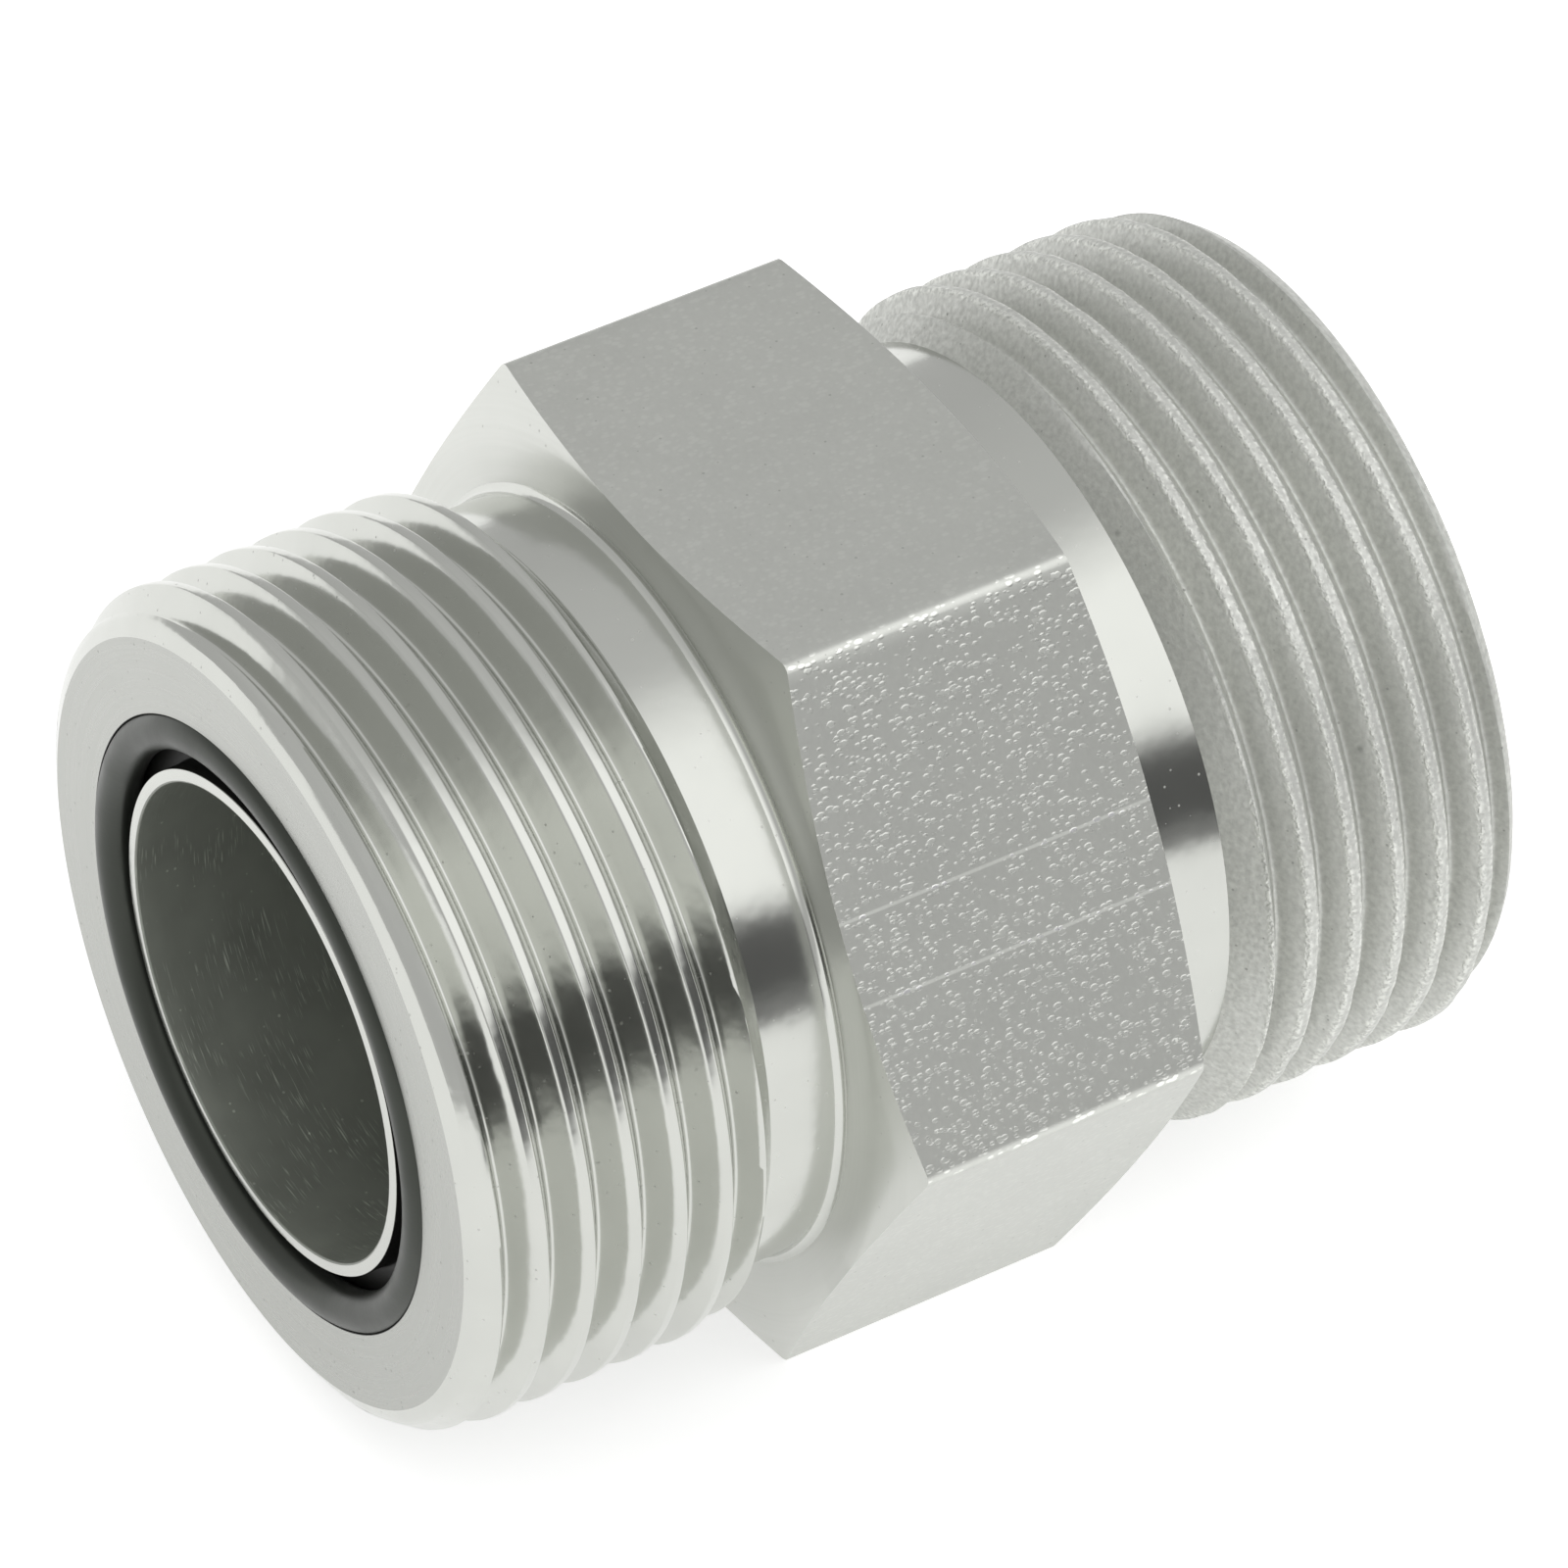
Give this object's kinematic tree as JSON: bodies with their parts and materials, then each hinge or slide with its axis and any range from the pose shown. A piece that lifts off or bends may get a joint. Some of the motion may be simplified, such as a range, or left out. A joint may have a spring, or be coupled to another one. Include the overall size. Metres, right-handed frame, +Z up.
{
  "type": "hydraulic face seal union",
  "caption": "Straight steel union for hydraulic tube: male face seal stubs with external thread and O-ring at both ends of a hexagon, bored through.",
  "frame": {"origin": "centre of the footprint on the surface that the union lies on, under the middle of its length; bottom hexagon flat at z = 0", "axes": "+X along the bore from the front end to the back end, +Z up and square to the bottom hexagon flat, +Y across"},
  "size_m": [0.0502, 0.0438, 0.0381],
  "materials": {
    "plated_steel": "clear zinc plating over turned and drawn steel, satin, cool grey",
    "seal_rubber": "smooth moulded nitrile, black, slightly oily"
  },
  "bodies": {
    "root": {"fitting_body": "plated_steel", "front_o_ring": "seal_rubber", "back_o_ring": "seal_rubber"}
  },
  "joints": []
}
